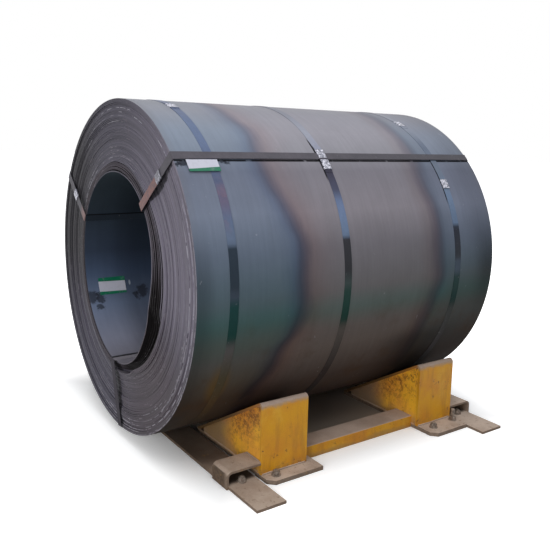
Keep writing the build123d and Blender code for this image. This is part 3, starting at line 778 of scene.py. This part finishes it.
def spring_in(angle):
    """The table's curve in metres, smooth through each of its points."""
    places = [a for a, depth in sprung]
    depths = [depth / 1000 for a, depth in sprung]
    for i in range(len(sprung) - 1):
        if angle <= places[i + 1]:
            break
    before, after = max(i - 1, 0), min(i + 2, len(sprung) - 1)
    low, high = places[i], places[i + 1]
    share = (angle - low) / (high - low)
    slope_low = (depths[i + 1] - depths[before]) / (places[i + 1] - places[before]) * (high - low)
    slope_high = (depths[after] - depths[i]) / (places[after] - places[i]) * (high - low)
    s2, s3 = share * share, share ** 3
    return ((2 * s3 - 3 * s2 + 1) * depths[i] + (s3 - 2 * s2 + share) * slope_low
            + (3 * s2 - 2 * s3) * depths[i + 1] + (s3 - s2) * slope_high)


# Share of that distance at each loose turn and the first tight one, and how far the turns'
# edges stand back from the near and the far end, by radius
loose_shares = [1.0, 0.88, 0.75, 0.62, 0.49, 0.36, 0.24, 0.12, 0.0]
plain_turns = 10
packed_turns = 30
setback_near = [(0.381, 0.006), (0.390, 0.005), (0.400, 0.009), (0.436, 0.010), (0.446, 0.012),
                (0.495, 0.012), (0.505, 0.009), (0.540, 0.008), (0.550, 0.003), (0.580, 0.002),
                (0.588, 0.005), (0.604, 0.005), (0.606, 0.0), (0.620, 0.0)]
setback_far = [(0.381, 0.006), (0.396, 0.007), (0.400, 0.012), (0.441, 0.012), (0.446, 0.009),
               (0.500, 0.009), (0.505, 0.005), (0.545, 0.005), (0.550, 0.007), (0.585, 0.007),
               (0.588, 0.004), (0.604, 0.004), (0.606, 0.0), (0.620, 0.0)]
turn_total = plain_turns + packed_turns + len(loose_shares)
turn_near = [chance.uniform(-0.0009, 0.0012) for _ in range(turn_total)]
turn_far = [chance.uniform(-0.0012, 0.0016) for _ in range(turn_total)]
turn_phase = [chance.uniform(0, 360) for _ in range(turn_total)]


def window(value, low, high, soft):
    """1 between low and high, falling smoothly to 0 within the soft margin on either side."""
    return ease((value - low) / soft + 1) * ease((high - value) / soft + 1)


def inner_radii(angle):
    """Inner faces of the loose turns, innermost first, ending with the first tight turn."""
    depth = spring_in(angle)
    slack = 0.0024 * window(angle, 62, 92, 22)
    radii = [bore_radius - depth]
    slack_factors = {0: 2.0, 2: 1.0, 5: 1.0}
    for number, share in enumerate(loose_shares[1:]):
        extra = slack * slack_factors.get(number, 0.0)
        radii.append(max(radii[-1] + sheet + extra, bore_radius - share * depth))
    return radii


def recess(number, angle):
    """How far the loose turns behind the innermost one stand back low on the sprung side."""
    if number == 0:
        return 0.004 * window(angle, -80, -40, 20)
    return (0.022 + 0.0013 * number) * window(angle, -84, -34, 20)


def setback(number, radius, angle, near):
    """Distance of a turn's edge from the coil's end plane."""
    base = straight(radius, setback_near if near else setback_far)
    own = (turn_near if near else turn_far)[number]
    wave = 0.0007 * math.sin(math.radians(angle + turn_phase[number]))
    slow = 0.0012 * math.sin(math.radians(angle * 2 + 40)) * (1 - (radius - bore_radius) / 0.24)
    if number == 0:
        return 0.0002 + abs(wave) * 0.3
    return max(0.0004, base + own + wave + slow)


# Angles of the points round the coil, the bevel of a turn's edges and the marks of its faces
angles_round = [360 * k / 200 - 180 for k in range(200)]
edge_cut = 0.0006
side_mark, edge_mark, bore_mark, loose_mark, gap_mark = range(5)
shaded_turns = range(1, 6)


def end_row(angle, near):
    """Across one end from the rim to the first tight turn, with a groove between the turns."""
    plain_end = coil_radius - plain_turns * sheet
    packed = inner_radii(angle)[-1] - plain_end
    edges = [coil_radius - sheet * k for k in range(plain_turns + 1)]
    edges += [plain_end + packed * k / (packed_turns + 1) for k in range(1, packed_turns + 2)]
    row = []
    sign = -1 if near else 1
    for number, (outer, inner) in enumerate(zip(edges, edges[1:])):
        face = half_width - setback(number, (outer + inner) / 2, angle, near)
        groove = sign * (face - edge_cut)
        face *= sign
        row += [point(groove, outer, angle), point(face, outer - edge_cut, angle),
                point(face, inner + edge_cut * 0.6, angle), point(groove, inner, angle)]
    return row


def add_tight_turns(shape):
    """Both ends, the coil's side and the wall that the loose turns lie on."""
    lengthwise = 12
    near_rows, far_rows = ([end_row(angle, near) for angle in angles_round] for near in (True, False))
    both = list(zip(near_rows, far_rows))
    side = [[near[0] + (far[0] - near[0]) * k / lengthwise for k in range(lengthwise + 1)]
            for near, far in both]
    shape.grid(near_rows, closed_rows=True, mark=edge_mark)
    shape.grid(far_rows, closed_rows=True, mark=edge_mark, flip=True)
    shape.grid(side, closed_rows=True, mark=side_mark, flip=True)
    shape.grid([[near[-1], far[-1]] for near, far in both], closed_rows=True, mark=bore_mark)


def add_loose_turn(shape, number):
    index = turn_total - 1 - number
    nominal = bore_radius + 0.004 * number
    rows = []
    for angle in angles_round:
        inner = inner_radii(angle)[number]
        outer = inner + sheet
        near = half_width - setback(index, nominal, angle, True) - recess(number, angle)
        far = half_width - setback(index, nominal, angle, False)
        outline = [(edge_cut - near, outer), (-near, outer - edge_cut), (-near, inner + edge_cut),
                   (edge_cut - near, inner), (far - edge_cut, inner), (far, inner + edge_cut),
                   (far, outer - edge_cut), (far - edge_cut, outer)]
        rows.append([point(x, radius, angle) for x, radius in outline])
    shape.grid(rows, closed_rows=True, closed_columns=True)
    edge = loose_mark if number in shaded_turns else edge_mark
    inner_face = bore_mark if number == 0 else gap_mark
    shape.marks[-8 * len(rows):] = [edge, edge, edge, inner_face, edge, edge, edge, gap_mark] * len(rows)


def make_coil():
    shape = Shape()
    add_tight_turns(shape)
    for number in range(len(loose_shares) - 1):
        add_loose_turn(shape, number)
    finishes = [side_finish(), end_finish("mill_scale_edges", False), bore_finish(),
                end_finish("mill_scale_loose_edges_and_shade", True), gap_shade_finish()]
    piece("coil_turns", shape, finishes, ["coil"])


make_coil()


# Straps, seals and labels

crossing_half = math.degrees((strap_width / 2 + 0.002) / crossing_outer)
crossing_rise = math.degrees(math.acos(belly_outer / crossing_outer))
along_axis = Vector((1, 0, 0))


def turned_to(vector, way):
    """The vector, or its opposite where that looks more along the way."""
    return vector if vector.dot(way) >= 0 else -vector


def belly_lift(number, angle):
    """Extra height of the middle belly strap where it climbs over an eye strap."""
    if number != "2":
        return 0.0
    nearest = min(abs((angle - rim + 180) % 360 - 180) for rim, bore in eye_places.values())
    return (crossing_inner - belly_inner) * ease((crossing_half + crossing_rise - nearest) / crossing_rise)


def belly_line(number, start, end, count, lift=0.0):
    angles = [start + (end - start) * k / count for k in range(count + 1)]
    middles = [point(belly_places[number], belly_inner + strap_sheet / 2 + belly_lift(number, a) + lift, a)
               for a in angles]
    return middles, [along_axis] * len(angles), [outwards(a) for a in angles]


def make_belly_strap(number, kind, low, high):
    """The band round the coil, and its overlapping end that runs out under the seals."""
    shape = Shape()
    middles, sides, normals = belly_line(number, -180.0, 180.0, 480)
    shape.ribbon(middles[:-1], sides[:-1], normals[:-1], closed=True)
    shape.ribbon(*belly_line(number, low, high, 24, strap_sheet + 0.0001))
    finish = strap_finish(f"strap_{kind}", kind)
    piece(f"belly_strap_{number}_band", shape, [finish], [f"belly_strap_{number}"])


make_belly_strap("1", "belly_near", 70.0, 77.5)
make_belly_strap("2", "belly_middle", 37.4, 48.4)
make_belly_strap("3", "belly_far", 62.0, 69.0)


def bore_seat(angle):
    """Middle of a strap that lies across the bore's wall, and the wall's direction there."""
    def wall(a):
        return point(0, bore_radius - spring_in(a), a)
    way = (wall(angle + 0.5) - wall(angle - 0.5)).normalized()
    inwards = turned_to(Vector((0, way.z, -way.y)), -outwards(angle))
    sagitta = bore_radius - math.sqrt(bore_radius ** 2 - (strap_width / 2) ** 2)
    return wall(angle) + inwards * (seat + sagitta + strap_sheet / 2), way, inwards


def make_eye_strap(name):
    """A strap along the coil, down both ends and back through the bore."""
    rim_angle, bore_angle = eye_places[name]
    rim = point(0, eye_inner + strap_sheet / 2, rim_angle)
    rim_way, rim_out = upwards(rim_angle), outwards(rim_angle)
    bore, bore_way, bore_out = bore_seat(bore_angle)
    leg = (bore - rim).normalized()
    leg_way = turned_to(Vector((0, leg.z, -leg.y)), rim_way)
    end = half_width + seat + strap_sheet / 2
    leg_length = (bore - rim).length
    bend = 0.003
    middles, sides, normals = [], [], []

    def add(place, side, normal):
        middles.append(place)
        sides.append(side.normalized())
        normals.append(normal.normalized())

    def corner(centre, out_a, out_b, side_a, side_b):
        """Quarter bend from one outward direction to the next."""
        steps = 6
        for k in range(steps + 1):
            turn = math.radians(90 * k / steps)
            out = out_a * math.cos(turn) + out_b * math.sin(turn)
            add(centre + out * bend, side_a + (side_b - side_a) * k / steps, out)

    def down_leg(share, sign, bulge=0.0):
        add(rim + (bore - rim) * share + along_axis * sign * (end + bulge), leg_way, along_axis * sign)

    most_tilt = 0.10 if name == "upper" else 0.0
    for k in range(61):
        x = (end - bend) * (1 - 2 * k / 60)
        tilt = most_tilt * (1 - (abs(x) / end) ** 8)
        side = rim_way * math.cos(tilt) - rim_out * math.sin(tilt)
        normal = rim_out * math.cos(tilt) + rim_way * math.sin(tilt)
        add(rim + along_axis * x + rim_out * strap_width / 2 * math.sin(tilt), side, normal)
    before_bend = along_axis * (end - bend)
    shares = [bend / leg_length + (1 - 2 * bend / leg_length) * k / 24 for k in range(1, 24)]
    corner(rim - rim_out * bend - before_bend, rim_out, -along_axis, rim_way, leg_way)
    for share in shares:
        down_leg(share, -1, 0.0006 * math.sin(math.pi * share))
    corner(bore - bore_out * bend - before_bend, -along_axis, bore_out, leg_way, bore_way)
    for k in range(21):
        add(bore + before_bend * (2 * k / 20 - 1), bore_way, bore_out)
    corner(bore - bore_out * bend + before_bend, bore_out, along_axis, bore_way, leg_way)
    for share in shares:
        down_leg(1 - share, 1)
    corner(rim - rim_out * bend + before_bend, along_axis, rim_out, leg_way, rim_way)
    shape = Shape()
    shape.ribbon(middles[:-1], sides[:-1], normals[:-1], closed=True)
    finish = strap_finish(f"strap_eye_{name}", f"eye_{name}")
    piece(f"eye_strap_{name}_band", shape, [finish], [f"eye_strap_{name}"])


for strap_name in eye_places:
    make_eye_strap(strap_name)

bright_seal = seal_finish("galvanised_seal_look", 0.0)
dirty_seal = seal_finish("galvanised_seal_dirty", 0.18)


def make_seal(name, origin, strap_way, out, lift=0.0014, silver=bright_seal):
    """Folded sleeve with two rows of crimps that bite into its edges."""
    across = strap_way.cross(out)
    shape = Shape()
    length, half = 0.040, strap_width / 2 + 0.0013
    crimp_places, crimp_reach, crimp_depth = (-0.009, 0.009), 0.0021, 0.0030
    wall = 0.0008
    count = 48
    rows = []
    for k in range(count + 1):
        along_seal = (k / count - 0.5) * length
        crimp = max(math.exp(-((along_seal - centre) / crimp_reach) ** 2) for centre in crimp_places)
        end_lift = 0.0004 * (2 * abs(along_seal) / length) ** 6
        width = half - crimp_depth * crimp
        high = lift + 0.0010 - 0.0004 * crimp + end_lift
        low = -0.0012 - 0.0002 * crimp
        edge = 0.0009 - 0.0016 * crimp
        half_outline = [(width, low), (width + 0.0006 * crimp, high - wall - edge),
                        (width - 0.0007, high - 0.0002), (width - 0.0035, high + 0.0003 * (1 - crimp))]
        outline = [(-a, b) for a, b in half_outline] + [(0, high + 0.0004)] + half_outline[::-1]
        rows.append([origin + strap_way * along_seal + across * a + out * b for a, b in outline])
    shape.grid(rows)
    inner = [[p - out * wall for p in row[1:-1]] for row in rows]
    shape.grid(inner, flip=True)
    for row, under, flip in ((rows[0], inner[0], False), (rows[-1], inner[-1], True)):
        shape.grid([row[1:-1], under], flip=flip)
    piece(f"{name}_sleeve", shape, [silver], [name])


def make_belly_seal(name, number, angle):
    def top(a):
        return point(belly_places[number], belly_outer + belly_lift(number, a), a)
    way = (top(angle + 1.0) - top(angle - 1.0)).normalized()
    make_seal(name, top(angle), way, turned_to(along_axis.cross(way), outwards(angle)))


belly_seals = {"1": 73.0, "2_upper": 44.9, "2_lower": 40.4, "3_upper": 65.5, "3_lower": 32.0}
for seal_name, seal_angle in belly_seals.items():
    make_belly_seal(f"belly_seal_{seal_name}", seal_name[0], seal_angle)


def make_eye_seal(name, strap, distance, silver):
    """A seal on the strap's leg down the near end, at a distance from the coil's axis."""
    rim_angle, bore_angle = eye_places[strap]
    rim = point(0, eye_inner + strap_sheet / 2, rim_angle)
    bore = bore_seat(bore_angle)[0]
    bore_distance = (bore - Vector((0, 0, axis_height))).length
    share = (distance - bore_distance) / (coil_radius - bore_distance)
    place = bore + (rim - bore) * share
    place.x = -(half_width + seat + strap_sheet)
    make_seal(name, place, (rim - bore).normalized(), -along_axis, 0.0016, silver)


make_eye_seal("eye_seal_upper", "upper", 0.505, dirty_seal)
make_eye_seal("eye_seal_back", "back", 0.503, bright_seal)


def make_label(name, ends, angles, radius, out_sign, finish, curl):
    """A sheet stuck to the coil, a corner or edge of it lifted a little."""
    shape = Shape()
    across, along = 12, 28
    top, bottom = [], []
    for i in range(across + 1):
        angle = angles[0] + (angles[1] - angles[0]) * i / across
        over, under = [], []
        for j in range(along + 1):
            x = ends[0] + (ends[1] - ends[0]) * j / along
            lift = curl(i / across, j / along)
            over.append(point(x, radius + out_sign * (0.0005 + lift), angle))
            under.append(point(x, radius + out_sign * lift, angle))
        top.append(over)
        bottom.append(under)
    flip = out_sign < 0
    shape.grid(top, flip=not flip)
    shape.grid(bottom, flip=flip)
    shape.grid([top[0], bottom[0]], flip=not flip)
    shape.grid([top[-1], bottom[-1]], flip=flip)
    shape.grid([[a[0], b[0]] for a, b in zip(top, bottom)], flip=not flip)
    shape.grid([[a[-1], b[-1]] for a, b in zip(top, bottom)], flip=flip)
    piece(f"{name}_sheet", shape, [finish], [name])


make_label("outer_label", (-0.652, -0.540), (38.0, 42.2), crossing_outer + 0.0004, 1,
           label_finish("label_outer", 39.2, 42.9),
           lambda i, j: (0.0020 * max(0, 0.3 - i) * j + 0.0012 * max(0, j - 0.9) * 6
                         + 0.0003 * math.sin(9 * j + 2)))
make_label("bore_label", (-0.636, -0.519), (-162.5, -151.5), bore_radius - 0.0003, -1,
           label_finish("label_bore", -160.0, -153.4),
           lambda i, j: 0.0006 + 0.0005 * math.sin(7 * j + 3 * i) + 0.0025 * max(0, j - 0.85) * 3 * i)


# Cradle

def slope_y(z, depth):
    """Distance from the middle plane at a height, on the slope or this depth under it."""
    return contact_y + depth / math.sin(slope) - (contact_z - z) / math.tan(slope)


def slope_z(y, depth):
    """Height at a distance from the middle plane, on the slope or this depth under it."""
    return contact_z - depth / math.cos(slope) + (y - contact_y) * math.tan(slope)


paints = {part: paint_finish(f"yellow_paint_{part}", part) for part in ("side", "plate", "beam")}
dusty = dusty_finish()
steel = bolt_finish()
cradle_finishes = {
    "wedge_plate": paints["plate"], "wedge_side": paints["side"], "beam": paints["beam"], "foot_plate": dusty,
    "flat_bar": dusty, "bar_clip": dusty, "bar_bolt": steel, "foot_bolt": steel}
for node_name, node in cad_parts.items():
    for start, finish in cradle_finishes.items():
        if node_name.startswith(start):
            node.data.materials.clear()
            node.data.materials.append(finish)


def bead(shape, start, end, radius):
    """A weld run: overlapping ripples along a straight joint."""
    way = end - start
    length = way.length
    way.normalize()
    side = way.orthogonal().normalized()
    other = way.cross(side)
    count = max(8, int(length / 0.0028))
    turns = [math.radians(45 * j) for j in range(8)]
    rows = []
    sway = 0.0
    for k in range(count + 1):
        sway += chance.uniform(-0.0003, 0.0003)
        sway *= 0.9
        swell = 1.0 + 0.16 * math.sin(k * 2.1) + chance.uniform(-0.08, 0.08)
        if k in (0, count):
            swell *= 0.55
        middle = start + way * (length * k / count) + side * sway
        rows.append([middle + (side * math.cos(turn) + other * math.sin(turn)) * radius * swell
                     for turn in turns])
    shape.grid(rows, closed_columns=True)
    shape.cap(rows[0])
    shape.cap(rows[-1], flip=True)


def make_welds(side, row, way):
    """Fillet welds between the slope, the upright sides and the foot plate."""
    left, right = block_lefts[side], block_lefts[side] + block_width
    inner_face = block_reach - plate
    tip = slope_y(foot_top, plate) + 0.030
    low, high = tip + 0.010, inner_face - 0.014
    floor_line, front_line, clip_line = foot_top + 0.0006, foot_top + 0.0008, 0.0602
    plate_top = slope_z(inner_face, plate) - 0.014
    edge = left if side == "left" else right

    def welds(name, runs, finish):
        """Beads between two places each, as X, distance from the middle plane and height."""
        shape = Shape()
        for radius, *ends in runs:
            start, end = (Vector((x, way * reach, z)) for x, reach, z in ends)
            bead(shape, start, end, radius)
        piece(f"weld_{side}_{row}_{name}", shape, [finish])

    block_runs = []
    for web in (left + side_inset, right - side_inset):
        block_runs += [
            (0.0032, (web, tip + 0.006, floor_line), (web, inner_face - 0.010, floor_line)),
            (0.0032, (web, low, slope_z(low, plate) - 0.0010), (web, high, slope_z(high, plate) - 0.0010)),
            (0.0032, (web, inner_face, foot_top + 0.006), (web, inner_face, plate_top))]
    welds("block", block_runs, paints["side"])
    foot_runs = [(0.0036, (left + 0.006, block_reach, front_line), (right - 0.006, block_reach, front_line)),
                 (0.0034, (edge, block_reach - 0.004, clip_line), (edge, block_reach - 0.094, clip_line))]
    welds("foot", foot_runs, dusty)


def make_bolt(name, x, y, seat_height, rise):
    """Threaded stud, chamfered nut and washer."""
    shape = Shape()
    centre = Vector((x, y, 0))

    def on_ring(radius, turn, z):
        return centre + Vector((radius * math.cos(turn), radius * math.sin(turn), z))

    def ring(radius, z, count=24, turn=0.0):
        return [on_ring(radius, 2 * math.pi * k / count + turn, z) for k in range(count)]

    washer_radius, washer_hole, washer_top = 0.017, 0.0085, seat_height + 0.003
    shape.grid([ring(washer_hole, washer_top), ring(washer_radius - 0.0004, washer_top),
                ring(washer_radius, seat_height + 0.0026), ring(washer_radius, seat_height + 0.0001)],
               closed_columns=True)
    top = washer_top + 0.013
    turn = chance.uniform(0, 1)
    half_flats, half_corners, points = 0.012, 0.0139, 48
    angles = [2 * math.pi * k / points for k in range(points)]
    flats = [half_flats / math.cos((angle + math.pi / 6) % (math.pi / 3) - math.pi / 6) for angle in angles]
    nut = [[on_ring(min(flat, round_radius), angle + turn, z) for angle, flat in zip(angles, flats)]
           for z, round_radius in ((washer_top, 0.0125), (seat_height + 0.0045, half_corners),
                                   (top - 0.0022, half_corners), (top, 0.0118))]
    nut.append(ring(0.0086, top, points, turn))
    shape.grid(nut, closed_columns=True, flip=True)
    start, end = top - 0.001, top + rise
    pitch, root, crest, steps = 0.002, 0.0069, 0.0080, 16
    thread = ((root, -pitch / 2), (crest, -pitch * 0.12), (crest, pitch * 0.12), (root, pitch / 2))
    rows = []
    for k in range(int((end - start) / pitch * steps) + 1):
        z = start + pitch * k / steps
        taper = min(1.0, (end - z) / 0.0015 * 0.35 + 0.72)
        rows.append([on_ring(radius * taper, 2 * math.pi * k / steps, z + up) for radius, up in thread])
    shape.grid(rows, flip=True)
    core = [ring(0.0070, start), ring(0.0070, end - 0.0008), ring(0.0062, end)]
    shape.grid(core, closed_columns=True, flip=True)
    shape.cap(ring(0.0062, end))
    piece(f"{name}_nut_and_stud", shape, [steel], [name])


bar_half = 0.0565
bar_middle = {"left": block_lefts["left"] - 0.014 - bar_half,
              "right": block_lefts["right"] + block_width + 0.004 + bar_half}
toe_bolts = {"left": [(0.047, 0.024, 0.004)], "right": [(0.054, 0.040, 0.006), (0.179, 0.030, 0.032)]}
for row, way in (("front", -1), ("rear", 1)):
    for side in ("left", "right"):
        make_welds(side, row, way)
        make_bolt(f"bar_bolt_{side}_{row}", bar_middle[side], way * (block_reach - 0.010), 0.010, 0.004)
        for number, (over, out, rise) in enumerate(toe_bolts[side], 1):
            make_bolt(f"foot_bolt_{side}_{row}_{number}", block_lefts[side] + over, way * (block_reach + out),
                      foot_top, rise)


# Floor, light and camera

white = (1, 1, 1, 1)


def make_floor():
    """Pale floor that turns white away from the coil, with a painted shadow as a dark patch under it."""
    mesh = bpy.data.meshes.new("floor")
    size, height = 40.0, -0.0005
    corners = [(-size, -size, height), (size, -size, height), (size, size, height), (-size, size, height)]
    mesh.from_pydata(corners, [], [(0, 1, 2, 3)])
    floor = add_object("floor", mesh)
    material = bpy.data.materials.new("floor")
    tree = Tree(material)
    tree.nodes.remove(tree.nodes["Principled BSDF"])
    x, y = tree.split(tree.node("TexCoord", {}, "Object"))[:2]
    beyond = (abs(x - 0.06) - 0.50).either(abs(y) - 0.46)
    # Painted shadow: a dark patch of floor under the coil, for the camera's rays
    shadowed_floor = tree.mix(beyond.step(-0.08, 0.10), (0.28, 0.235, 0.195, 1), (0.98, 0.98, 0.98, 1))
    plain = tree.node("BsdfDiffuse", {"Color": (0.20, 0.19, 0.18, 1)})
    pale = tree.node("BsdfDiffuse", {"Color": shadowed_floor})
    glow = tree.node("Emission", {"Color": white, "Strength": beyond.step(-0.02, 0.62)})
    seen = tree.node("AddShader", {0: pale, 1: glow})
    tree.put(tree.nodes["Material Output"].inputs[0], tree.by_ray(plain, seen))
    mesh.materials.append(material)


def make_world():
    """Cool light from all round, and plain white where the eye or a mirror sees it."""
    world = bpy.data.worlds.new("studio")
    bpy.context.scene.world = world
    tree = Tree(world)
    tree.nodes.remove(tree.nodes["Background"])
    lit = tree.node("Background", {"Color": (0.93, 0.96, 1.0, 1), "Strength": 0.38})
    seen = tree.node("Background", {"Color": white, "Strength": 1.0})
    tree.put(tree.nodes["World Output"].inputs[0], tree.by_ray(lit, seen))


def lamp(name, place, target, size, power):
    light = bpy.data.lights.new(name, "AREA")
    light.shape = "SQUARE"
    light.size = size
    light.energy = power
    thing = add_object(name, light)
    thing.location = place
    thing.rotation_mode = "QUATERNION"
    thing.rotation_quaternion = (Vector(target) - Vector(place)).to_track_quat("-Z", "Y")
    thing.visible_camera = False
    thing.visible_glossy = False


make_floor()
make_world()
lamp("overhead", (-0.7, -1.3, 4.5), (0, 0, 0.5), 4.0, 125)
lamp("front", (-4.3, -2.9, 1.2), (0, 0, 0.3), 2.2, 105)
lamp("rear", (3.4, 3.8, 2.2), (0, 0, 0.4), 2.5, 45)

# Pixels of the photograph: its side, the focal length and the point that the camera looks at
picture_side = 550
focal_length = 673.73
middle_x, middle_y = 274.79, 242.02
sensor_width = 36.0
camera_place = Vector((-1.6331, -2.3585, 0.4909 + axis_height))
azimuth, elevation, roll = -0.61175, 0.152144, 0.02634

back = Vector((math.sin(azimuth) * math.cos(elevation), -math.cos(azimuth) * math.cos(elevation),
               math.sin(elevation)))
level = Vector((math.cos(azimuth), math.sin(azimuth), 0))
straight_up = back.cross(level)
right = level * math.cos(roll) + straight_up * math.sin(roll)
up = straight_up * math.cos(roll) - level * math.sin(roll)
camera_data = bpy.data.cameras.new("photograph")
camera_data.sensor_width = sensor_width
camera_data.lens = focal_length / picture_side * sensor_width
camera_data.shift_x = (picture_side / 2 - middle_x) / picture_side
camera_data.shift_y = (middle_y - picture_side / 2) / picture_side
camera_data.clip_start = 0.05
camera_data.clip_end = 200
camera = add_object("photograph", camera_data)
camera.rotation_mode = "QUATERNION"
camera.matrix_world = Matrix.Translation(camera_place) @ Matrix((right, up, back)).transposed().to_4x4()
bpy.context.scene.camera = camera
bpy.context.scene.view_settings.view_transform = "Standard"
